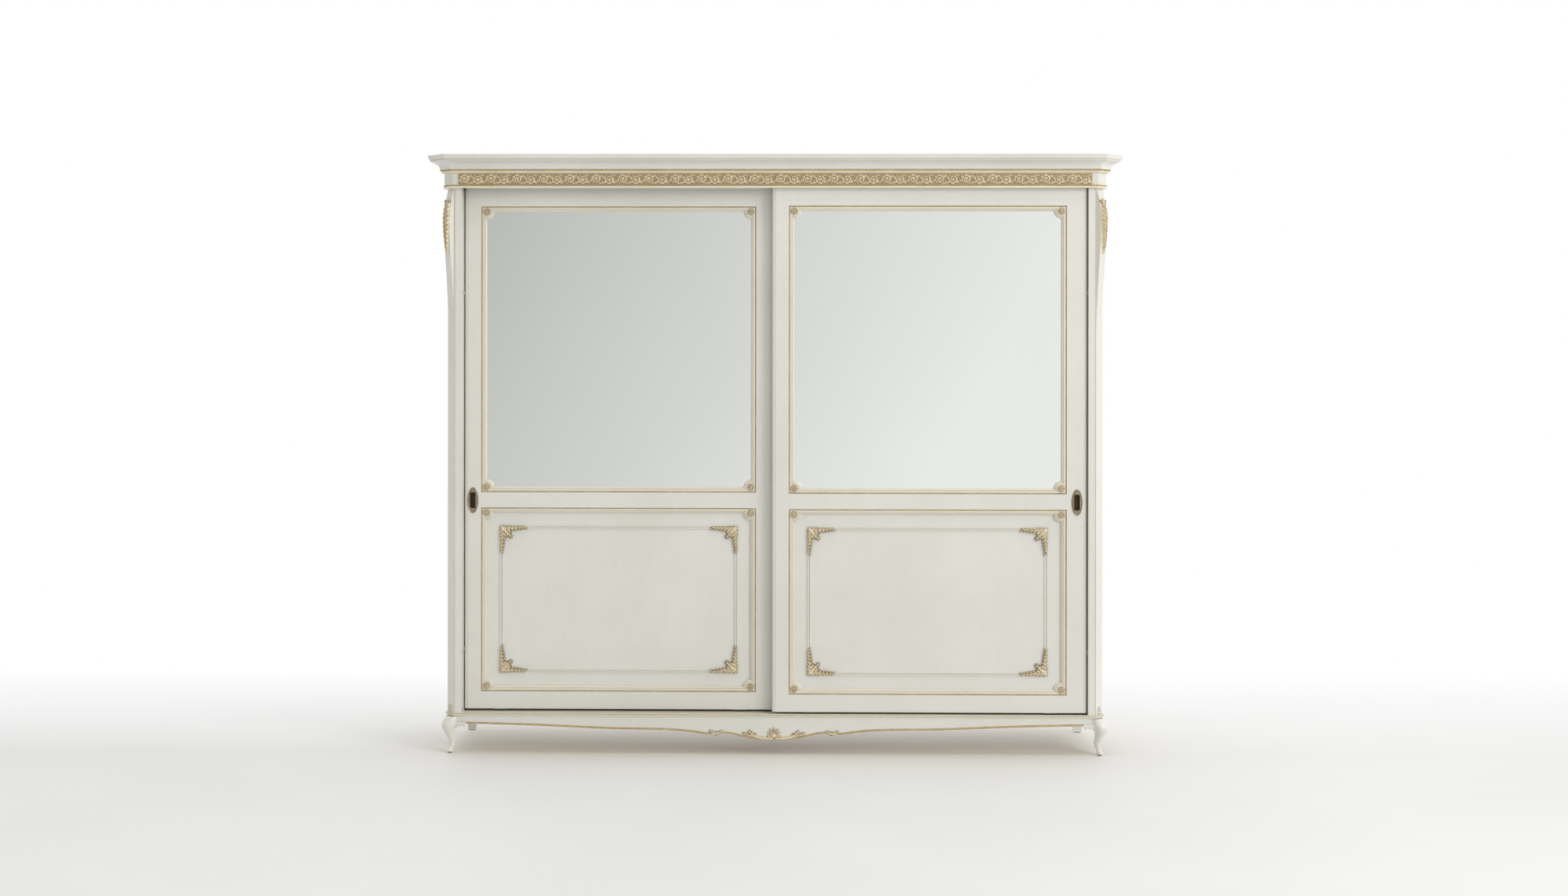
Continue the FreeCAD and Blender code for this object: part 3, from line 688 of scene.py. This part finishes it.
def drop_carving(tall):
    """A rib under ten pairs of leaves that swell and then shrink, below two volutes."""
    drop = Carving()
    body = [(0, tall - 14), (0, tall * 0.62), (0, tall * 0.3), (0, 3)]
    drop.stroke(body, (12, 17.5, 16, 11, 4), 6.5, 0.0, 70)
    drop.stroke([(0, tall - 24), (0.6, tall * 0.5), (0, 5)], (4.5, 5.5, 4.0, 2.0), 11.5, 0.45, 70)
    swell = (0.78, 0.95, 1.0, 1.0, 0.97, 0.90, 0.80, 0.68, 0.54, 0.40)
    for n, grow in enumerate(swell):
        v = tall - 34 - n * (tall - 46) / len(swell)
        for side in (-1, 1):
            drop.stroke(
                [(side * 2, v), (side * 9 * grow, v - 2), (side * 15.5 * grow, v + 7)],
                (4.6 * grow, 5.4 * grow, 2.8 * grow), 12.0, 0.35, 20,
            )
            drop.boss(side * 14.2 * grow, v + 7, 4.4 * grow, 13.5)
            drop.stroke(
                [(side * 3, v - 8), (side * 9 * grow, v - 12), (side * 15.5 * grow, v - 5)],
                (3.4 * grow, 3.6 * grow, 2.0), 8.5, 0.3, 16,
            )
    for side in (-1, 1):
        drop.scroll((side * 9, tall - 17), 9.5, 2.0, 90 - side * 90, side * 430, (3.4, 2.8, 1.8), 11.0)
        drop.boss(side * 9, tall - 17, 3.0, 12.0)
    drop.leaf((0, tall - 26), (0, tall - 3), 10, 2, 11.0)
    return drop


def post_drops():
    """A long acanthus that hangs on each shoulder, under a curled head."""
    low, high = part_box("post_carvings")
    tall = (high.z - low.z) / MM
    drop = drop_carving(tall)
    half = 19.5
    for side in SIDES:
        part = carved(drop, -half, half, 0, tall, 1.1, on_post(side, low.z / MM, -0.4))
        verts, faces = turned_for(side, part)
        stands_for = ("post_carvings",) if side == "left" else ()
        add_piece(f"{side}_post_acanthus", verts, faces, GOLD, CARCASS, stands_for, 60.0)


def post_feet():
    """A small white leaf at the foot of each corner cut."""
    low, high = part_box("post_foot_leaves")
    tall = (high.z - low.z) / MM
    leaf = Carving()
    leaf.leaf((0, 2), (0, tall - 2), 13, 3, 5.5)
    for side in (-1, 1):
        leaf.scroll((side * 8, 6), 5.5, 1.5, 90 + side * 90, -side * 400, (2.4, 1.6, 1.2), 4.5)
    for side in SIDES:
        part = carved(leaf, -17, 17, -1, tall, 0.9, on_post(side, low.z / MM))
        verts, faces = turned_for(side, part)
        stands_for = ("post_foot_leaves",) if side == "left" else ()
        add_piece(f"{side}_post_leaf", verts, faces, MOULDED, CARCASS, stands_for, 60.0)


# =====================================================================
# base
# =====================================================================
def apron_edge():
    """The lower edge of the apron as (x, z) points, read from the CAD board's front outline."""
    edge = {}
    for vertex in NODES["front_apron"].data.vertices:
        x, y, z = vertex.co
        if y < APRON_LOW.y + MM and z < APRON_HIGH.z - MM:
            edge[round(x, 5)] = min(z, edge.get(round(x, 5), 1.0))
    return sorted(edge.items())


def apron_bead():
    """The gilded half round that follows the lower edge of the apron."""
    points = curve(apron_edge(), 260)
    slopes = np.gradient(points, axis=0)
    rings = []
    r = 4.2 * MM
    swell, sunk = 3.2 * MM, 2 * MM          # in front of the apron's face and behind it
    for (x, z), (dx, dz) in zip(points, slopes):
        run = math.hypot(dx, dz)
        nx, nz = -dz / run, dx / run
        ring = []
        for a in np.linspace(-90, 90, 9):
            up = r * (1 + math.sin(math.radians(a)))
            out = swell * math.cos(math.radians(a))
            ring.append((x + nx * up, POST_Y - out, z + nz * up))
        ring.append((x + nx * 2 * r, POST_Y + sunk, z + nz * 2 * r))
        ring.append((x, POST_Y + sunk, z))
        rings.append(ring)
    verts, faces = loft(rings)
    add_piece("apron_gilt_edge", verts, faces, LINE, CARCASS, ("apron_gilding",), 40.0)


def apron_crest():
    """The palmette in the middle of the apron, between two sprigs on each side."""
    base = APRON_LOW.z / MM + 4
    heart = base + 12
    crest = Carving()
    for n in range(-4, 5):
        a = math.radians(90 - n * 31)
        reach = 34 - 2.4 * abs(n)
        tip = (reach * math.cos(a), heart + reach * math.sin(a))
        crest.stroke([(0, heart), (tip[0] * 0.55, heart + (tip[1] - heart) * 0.6), tip],
                     (2.0, 4.4, 1.6), 8.0 - 0.5 * abs(n), 0.35, 18)
        crest.boss(tip[0], tip[1], 2.4, 7.0 - 0.5 * abs(n))
    crest.boss(0, base + 10, 7.0, 9.5)
    for side in (-1, 1):
        crest.scroll((side * 17, base + 6), 8.0, 2.0, 90 + side * 90, side * 420, (3.6, 2.8, 1.8), 7.0)
        crest.stroke([(side * 9, base + 1), (side * 55, base + 3), (side * 116, base + 16)],
                     (4.5, 5.0, 2.0), 6.5, 0.25, 50)
        crest.leaf((side * 66, base + 6), (side * 104, base + 34), 13, 4, 6.5, -side * 5)
        crest.leaf((side * 100, base + 12), (side * 128, base + 26), 10, 3, 5.5, -side * 3)
        crest.leaf((side * 252, base + 20), (side * 212, base + 31), 11, 4, 5.5, side * 4)
        crest.leaf((side * 248, base + 20), (side * 268, base + 33), 8, 2, 5.0, side * 2)
    # painted shade on the carved ground, fading out over 3 mm of rise
    leafed = gilding("apron_gold", POST_Y - 1.0 * MM, 3.0 * MM)
    half = 275
    verts, faces = carved(
        crest, -half, half, base - 8, base + 62, 1.2,
        lambda u, v, h: (u * MM, POST_Y - h * MM, v * MM),
    )
    add_piece("apron_palmette", verts, faces, leafed, CARCASS, (), 60.0)


def cabriole(mirror):
    """A full knee, a slim ankle and a scrolled toe, square to the corner cut."""
    # height, distance outward, half width across and half depth, in millimetres
    stations = [
        (3, 2, 7, 7), (6, 4, 11.5, 12), (12, 4, 12, 13), (19, 0, 9.5, 10.5),
        (28, -5, 9.5, 10.5), (46, -9, 12, 13), (65, -3, 15, 16.5), (84, 5, 19, 20),
        (102, 8.5, 25, 26), (117, 5, 29, 31), (134, -3, 30, 30), (151, -13, 28, 27),
    ]
    power = 2.5                             # 2 gives a round leg, more a squarer one
    rings = []
    for z, out, wide, deep in curve(stations, 46):
        ring = []
        for a in np.radians(np.arange(0, 360, 12)):
            c, s = math.cos(a), math.sin(a)
            squared = (abs(c) ** power + abs(s) ** power) ** (-1 / power)
            keel = 1 + 0.10 * max(0.0, c) ** 6
            point = CANT_MID + OUTWARD * ((out + deep * c * squared * keel) * MM)
            point = point + ALONG * (wide * s * squared * MM)
            ring.append((mirror * point.x, point.y, z * MM))
        rings.append(ring)
    return loft(rings)


def leg_block(mirror):
    """The block over the leg, between the apron and the corner cut."""
    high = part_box("front_legs")[1]
    tall, behind = 34 * MM, 2 * MM
    inner, outer, front = APRON_HIGH.x, POST_X - behind, POST_Y + behind
    plan = [(inner, front), (POST_X - CANT, front), (outer, POST_Y + CANT)]
    plan += [(outer, high.y), (inner, high.y)]
    return loft([[(mirror * x, y, z) for x, y in plan] for z in (high.z - tall, high.z)])


def front_legs():
    """A cabriole leg under a block at each front corner."""
    for side in SIDES:
        leg = turned_for(side, cabriole(MIRROR[side]))
        block = turned_for(side, leg_block(MIRROR[side]))
        verts, faces = merged([leg, block])
        add_piece(f"{side}_cabriole_leg", verts, faces, LACQUER, CARCASS,
                  ("front_legs",), 38.0)


def apron_ears():
    """A small scrolled bracket in the angle between each leg and the apron."""
    end, top = (POST_X - CANT) / MM + 2, 130
    # distance inward from the leg, and height
    scroll = [(0, 116), (12, 110), (26, 109), (36, 113), (42, 108), (48, 109), (52, 117)]
    lower = curve([(end - inward, z) for inward, z in scroll], 40)
    shape = [(end, top)] + [tuple(point) for point in lower] + [(end - 52, top)]
    bulge = ((9.0, 0.0), (-1.5, 0.0), (-3.0, 1.2), (-3.6, 2.6))     # behind the face, lift of the edge
    for side in SIDES:
        rings = []
        for back, lift in bulge:
            y = POST_Y + back * MM
            rings.append([
                (MIRROR[side] * x * MM, y, (z + (lift if z < top else 0)) * MM) for x, z in shape
            ])
        verts, faces = turned_for(side, loft(rings))
        add_piece(f"{side}_apron_ear", verts, faces, LACQUER, CARCASS, (), 40.0)


# =====================================================================
# doors
# =====================================================================
def front_rect(low, high):
    """A box seen from the front."""
    return low.x, high.x, low.z, high.z


def outline(rect, inset, centre, radius, steps=10):
    """A rectangle moved in, with corners hollowed round a fixed centre; (x, z) points in order."""
    x0, x1, z0, z1 = rect
    corners = ((x0, z0, 1, 1), (x1, z0, -1, 1), (x1, z1, -1, -1), (x0, z1, 1, -1))
    points = []
    for k, (x, z, right, up) in enumerate(corners):
        d = inset - centre
        if radius > math.sqrt(2) * abs(d) and radius > abs(d):
            edge = math.degrees(math.acos(d / radius))
            turn = [(centre + radius * math.cos(a), centre + radius * math.sin(a))
                    for a in np.radians(np.linspace(edge, 90 - edge, steps))]
        else:
            turn = [(inset, inset)] * steps
        if k % 2:
            turn = [(b, a) for a, b in turn]
        points += [(x + right * a, z + up * b) for a, b in turn]
    return points


def ring_moulding(name, rect, face, profile, centre, radius_at, material, body, stands_for=()):
    """A closed frame. The profile is (inset, depth behind the face), both in metres."""
    rings = []
    for inset, depth in profile:
        radius = radius_at + (inset - centre)
        rings.append([(x, face + depth, z) for x, z in outline(rect, inset, centre, radius)])
    verts, faces = welded(*loft(rings, closed_run=True))
    add_piece(name, verts, faces, material, body, stands_for, 26.0)


def door_surround(side, part, face):
    """The gilt line at the opening, then a cream strip, a quirk and an ovolo down to the panel."""
    body = f"{side}_door"
    node = f"{side}_door_{part}_surround"
    low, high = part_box(node)
    rect = front_rect(low, high)
    centre, radius = 22 * MM, 30 * MM
    floor = 17 * MM
    r = 2.2 * MM
    bead = [(0, 6 * MM), (0, 3 * MM)]
    bead += [
        (r - r * math.cos(a), 3 * MM - 2.4 * MM * math.sin(a))
        for a in np.radians(np.linspace(15, 165, 7))
    ]
    bead += [(2 * r, 3 * MM), (2 * r, 6 * MM)]
    ring_moulding(f"{side}_{part}_gilt_line", rect, face, bead, centre, -1, LINE, body)
    ovolo, quirk = 6 * MM, 14.4 * MM        # radius of the ovolo, and where it starts
    strip = [(4 * MM, floor), (4 * MM, 4 * MM), (5 * MM, 2.6 * MM), (12.5 * MM, 2.6 * MM)]
    strip += [(13.2 * MM, 3.2 * MM), (13.4 * MM, 5 * MM), (quirk, 5 * MM)]
    strip += [
        (quirk + ovolo * math.sin(a), 4.6 * MM + ovolo * (1 - math.cos(a)))
        for a in np.radians(np.linspace(5, 90, 7))
    ]
    strip += [(21 * MM, 11.5 * MM), (22 * MM, 13.5 * MM), (22 * MM, floor)]
    ring_moulding(f"{side}_{part}_moulding", rect, face, strip, centre, radius, MOULDED, body,
                  (node,))


def inner_moulding(side):
    """The applied frame on the lower panel: two fine beads with a hollow between."""
    body = f"{side}_door"
    node = f"{side}_door_inner_moulding"
    low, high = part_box(node)
    rect = front_rect(low, high)
    ground = high.y
    r = 1.7 * MM
    wide = 14 * MM

    def bead(middle):
        angles = np.radians(np.linspace(0, 180, 7))
        return [(middle - r * math.cos(a), -2.4 * MM - r * math.sin(a)) for a in angles]

    profile = [(0, 0.5 * MM)] + bead(r) + [(2 * r, -0.6 * MM), (wide - 2 * r, -0.6 * MM)]
    profile += bead(wide - r) + [(wide, 0.5 * MM)]
    ring_moulding(f"{side}_panel_frame", rect, ground, profile, 0.0, 46 * MM, LACQUER, body,
                  (node,))


def acanthus_corner():
    """An L of foliage: two arms that taper and curl, a bud at the corner and a leaf across it."""
    spray = Carving()

    def both(draw):
        draw(lambda a, b: (a, b))
        draw(lambda a, b: (b, a))

    def arm(at):
        spray.stroke([at(5, 9), at(38, 11), at(76, 9), at(106, 6)], (8.0, 6.8, 4.8, 2.6), 4.8, 0.25, 60)
        for n in range(6):
            x = 18 + 14.5 * n
            grow = 1 - 0.09 * n
            spray.stroke([at(x, 10), at(x + 5, 17 * grow + 3), at(x + 12, 23 * grow + 2)],
                         (4.4 * grow, 5.4 * grow, 3.0 * grow), 7.0, 0.35, 16)
            spray.boss(*at(x + 12.5, 23 * grow + 1), 3.8 * grow, 7.6)
            spray.stroke([at(x + 2, 8), at(x + 8, 3.6), at(x + 15, 2.6)],
                         (4.0 * grow, 3.8 * grow, 2.0), 6.0, 0.25, 14)
        spray.stroke([at(94, 7), at(106, 8), at(114, 14)], (3.0, 2.8, 1.8), 6.0, 0.0, 16)

    def volute(at):
        points = []
        for n in range(13):
            a, r = math.radians(200 - 34 * n), 9.5 - 0.58 * n
            points.append(at(34 + r * math.cos(a), 24 + r * math.sin(a)))
        spray.stroke(points, (3.0, 2.4, 1.6), 7.0, 0.0, 44)

    both(arm)
    both(volute)
    spray.leaf((14, 14), (50, 50), 15, 4, 7.5)
    spray.boss(13, 13, 7.5, 9.0)
    for n in range(6):
        a = math.radians(60 * n)
        spray.boss(13 + 7.5 * math.cos(a), 13 + 7.5 * math.sin(a), 3.4, 6.5)
    return spray


def rosette():
    """A round flower of six curled petals with a turned eye."""
    flower = Carving()
    for n in range(6):
        a = math.radians(60 * n + 12)
        b = a + math.radians(34)
        flower.stroke([(3 * math.cos(a), 3 * math.sin(a)), (10 * math.cos(a), 10 * math.sin(a)),
                       (13 * math.cos(b), 13 * math.sin(b))], (3.0, 4.3, 2.2), 5.4, 0.2, 14)
    flower.scroll((0, 0), 5.0, 0.6, 0, 420, (2.0, 1.6), 7.0)
    return flower


def set_in_corners(name, carving, rect, inset, size, face, cell, body, corners, stands_for):
    """One copy of a carving in each corner, turned so that its own corner points outward."""
    x0, x1, z0, z1 = rect
    places = {
        "low_left": (x0, z0, 1, 1), "low_right": (x1, z0, -1, 1),
        "high_left": (x0, z1, 1, -1), "high_right": (x1, z1, -1, -1),
    }
    parts = []
    for corner in corners:
        x, z, right, up = places[corner]

        def place(u, v, h):
            return (x + right * (inset + u * MM), face - h * MM, z + up * (inset + v * MM))

        verts, faces = carved(carving, size[0], size[1], size[0], size[1], cell, place)
        if right * up < 0:
            faces = [tuple(reversed(f)) for f in faces]
        parts.append((verts, faces))
    verts, faces = merged(parts)
    # painted shade on the carved ground, the darkest brown, fading out over 5.5 mm of rise
    leafed = gilding(name + "_gold", face - 0.8 * MM, 5.5 * MM, (0.22, 0.14, 0.055))
    add_piece(name, verts, faces, leafed, body, stands_for, 60.0)


def door_carving(side, face):
    """The foliage at the corners of the panel's frame, and the rosettes of both surrounds."""
    body = f"{side}_door"
    low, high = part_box(f"{side}_door_inner_moulding")
    rect = front_rect(low, high)
    every = ("low_left", "low_right", "high_left", "high_right")
    set_in_corners(f"{side}_acanthus_corners", acanthus_corner(), rect, 0.0, (0, 116), high.y - 4 * MM, 1.2,
                   body, every, (f"{side}_door_corner_ornaments",))
    flower = rosette()
    for part in ("mirror", "panel"):
        low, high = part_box(f"{side}_door_{part}_surround")
        rect = front_rect(low, high)
        stands_for = (f"{side}_door_rosettes",) if part == "panel" else ()
        set_in_corners(f"{side}_{part}_rosettes", flower, rect, 22 * MM, (-16, 22), face + 2.8 * MM, 0.95,
                       body, every, stands_for)


def pull_ring(middle, half_w, half_h, y, squareness=2):
    """A ring that faces the front; squareness 2 is an ellipse, more is a squarer slot."""
    power = 2 / squareness
    ring = []
    for a in np.linspace(0, 2 * math.pi, 72, endpoint=False):
        c, s = math.cos(a), math.sin(a)
        x = middle.x + half_w * math.copysign(abs(c) ** power, c)
        ring.append((x, y, middle.z + half_h * math.copysign(abs(s) ** power, s)))
    return ring


def flush_pull(side):
    """An oval bronze plate with a rolled rim, round a rectangular finger cup."""
    node = f"{side}_door_pull"
    low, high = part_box(node)
    middle = (low + high) / 2
    half_w, half_h = (high.x - low.x) / 2, (high.z - low.z) / 2
    plate_back = low.y + 3 * MM
    cup_w, cup_h, cup_floor = 11 * MM, 32.5 * MM, high.y - 2 * MM
    # drawn in from the oval, and out from the back of the plate, in millimetres
    rim = ((0, 0), (0, 1.2), (0.8, 2.5), (2.2, 3), (3.6, 2.4), (4.4, 1.6))
    rings = [
        pull_ring(middle, half_w - inward * MM, half_h - inward * MM, plate_back - out * MM)
        for inward, out in rim
    ]
    # wider than the cup, and out from the back of the plate, in millimetres
    lip = ((2, 1.6), (0.8, 2.4), (0, 1.6))
    rings += [
        pull_ring(middle, cup_w + wider * MM, cup_h + wider * MM, plate_back - out * MM, 9)
        for wider, out in lip
    ]
    rings += [pull_ring(middle, cup_w, cup_h, cup_floor - 2 * MM, 9)]
    rings += [pull_ring(middle, cup_w - 2 * MM, cup_h - 2 * MM, cup_floor, 7)]
    verts, faces = loft(rings, caps=False)
    faces.append(tuple(range(len(verts) - len(rings[-1]), len(verts))))
    bronze = antique_bronze(f"{side}_pull_bronze", plate_back)
    add_piece(f"{side}_flush_pull", verts, faces, bronze, f"{side}_door",
              (node,), 40.0)


def doors():
    for side in SIDES:
        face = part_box(f"{side}_door_stiles")[0].y
        for part in ("mirror", "panel"):
            door_surround(side, part, face)
        inner_moulding(side)
        door_carving(side, face)
        flush_pull(side)


# =====================================================================
# stage
# =====================================================================
def floor_paint():
    """Pale grey, with painted warm shade under the armoire, and glowing white behind it as painted light.
    """
    s = Shader("pale_floor")
    open_floor = s.ramp(s.noise(0.6, 3.0), (0.3, (0.755, 0.75, 0.75)), (0.7, (0.795, 0.795, 0.795)))
    # painted shade: the floor turns warm brown where the armoire hides it, by ambient occlusion
    s.colour(s.mixed(s.recess(0.5, local=False), open_floor, (0.78, 0.735, 0.665)))
    s.roughness(s.span(s.noise(4.0, 3.0), 0.55, 0.7))
    nodes = s.tree.nodes
    split = nodes.new("ShaderNodeSeparateXYZ")
    s.link(s.coords, split.inputs["Vector"])
    # painted light: from here the floor glows white, though no lamp is there; the glow begins under the
    # armoire's front and lightens the shade beneath it
    glow_start, glow_end = -0.22, 1.7       # metres behind the middle of the armoire
    glow_share = nodes.new("ShaderNodeMath")
    glow_share.operation = "POWER"
    glow_share.inputs[1].default_value = 0.8
    s.link(s.span(split.outputs["Y"], 0.0, 1.0, glow_start, glow_end), glow_share.inputs[0])
    painted_glow = nodes.new("ShaderNodeEmission")
    painted_glow.inputs["Color"].default_value = (1, 1, 1, 1)
    blend = nodes.new("ShaderNodeMixShader")
    s.link(glow_share.outputs[0], blend.inputs[0])
    s.link(s.bsdf.outputs[0], blend.inputs[1])
    s.link(painted_glow.outputs[0], blend.inputs[2])
    s.link(blend.outputs[0], nodes["Material Output"].inputs["Surface"])
    return s.material


def stage_floor():
    """A round floor that the mirrors do not show."""
    radius, behind = 30.0, 6.0
    angles = np.linspace(0, 2 * math.pi, 96, endpoint=False)
    verts = [(radius * math.cos(a), behind + radius * math.sin(a), 0) for a in angles]
    mesh = bpy.data.meshes.new("stage_floor")
    mesh.from_pydata(verts, [], [tuple(range(len(verts)))])
    mesh.materials.append(floor_paint())
    floor = bpy.data.objects.new("stage_floor", mesh)
    floor.visible_glossy = False
    bpy.context.scene.collection.objects.link(floor)


def world_blend(tree, socket, start, end, low, high):
    """Mixes two colours where a direction runs from start to end."""
    span = tree.nodes.new("ShaderNodeMapRange")
    span.inputs["From Min"].default_value = start
    span.inputs["From Max"].default_value = end
    tree.links.new(socket, span.inputs["Value"])
    mix = tree.nodes.new("ShaderNodeMix")
    mix.data_type = "RGBA"
    tree.links.new(span.outputs["Result"], mix.inputs[0])
    mix.inputs[6].default_value = (*low, 1)
    mix.inputs[7].default_value = (*high, 1)
    return mix


def world():
    """White behind the armoire; in front of it a soft grey room, lighter to the right."""
    w = bpy.data.worlds.new("studio")
    bpy.context.scene.world = w
    w.use_nodes = True
    tree = w.node_tree
    background = tree.nodes["Background"]
    coords = tree.nodes.new("ShaderNodeTexCoord")
    split = tree.nodes.new("ShaderNodeSeparateXYZ")
    tree.links.new(coords.outputs["Generated"], split.inputs["Vector"])

    slope = tree.nodes.new("ShaderNodeMath")
    slope.operation = "MULTIPLY_ADD"
    slope.inputs[1].default_value = -0.555
    tree.links.new(split.outputs["Z"], slope.inputs[0])
    tree.links.new(split.outputs["X"], slope.inputs[2])

    dim, light = (0.45, 0.455, 0.43), (0.88, 0.885, 0.87)
    room = world_blend(tree, slope.outputs[0], -0.25, 0.12, dim, light)
    whole = world_blend(tree, split.outputs["Y"], -0.25, 0.15, (0, 0, 0), (1, 1, 1))
    tree.links.new(room.outputs[2], whole.inputs[6])
    tree.links.new(whole.outputs[2], background.inputs["Color"])
    background.inputs["Strength"].default_value = 1.0


def area_light(name, place, size, power, colour=(1, 1, 1)):
    """A soft rectangle of light, turned to the middle of the armoire."""
    data = bpy.data.lights.new(name, "AREA")
    data.shape = "RECTANGLE"
    data.size, data.size_y = size
    data.energy = power
    data.color = colour
    light = bpy.data.objects.new(name, data)
    light.location = place
    aim = Vector((0, 0, 1.1)) - Vector(place)
    light.rotation_euler = aim.to_track_quat("-Z", "Y").to_euler()
    bpy.context.scene.collection.objects.link(light)


def lights():
    """A key from the right, a weak fill from the left and a wide one overhead."""
    area_light("key_right", (6.5, -6.0, 4.6), (3.5, 3.5), 255, (1.0, 0.995, 0.985))
    area_light("fill_left", (-6.5, -6.0, 3.4), (3.5, 3.5), 20, (0.98, 0.99, 1.0))
    area_light("top", (0, -1.5, 6.5), (6.0, 3.0), 80)


def camera():
    """Level and a degree off square, shifted so that the horizon is above the middle."""
    data = bpy.data.cameras.new("camera")
    data.sensor_width = 36.0
    data.lens = 45.11
    data.shift_x = 0.0272
    data.shift_y = -0.0684
    distance, height = 8.35, 1.7015
    roll, yaw = -0.06, 0.96                 # degrees
    eye = bpy.data.objects.new("camera", data)
    eye.location = (0, -distance, height)
    eye.rotation_euler = (math.radians(90), math.radians(roll), math.radians(yaw))
    bpy.context.scene.collection.objects.link(eye)
    bpy.context.scene.camera = eye


dress_cad()
crown()
gilt_beads()
sill()
frieze_band()
post_drops()
post_feet()
apron_bead()
apron_crest()
front_legs()
apron_ears()
doors()
stage_floor()
world()
lights()
camera()
bpy.context.scene.view_settings.view_transform = "Standard"
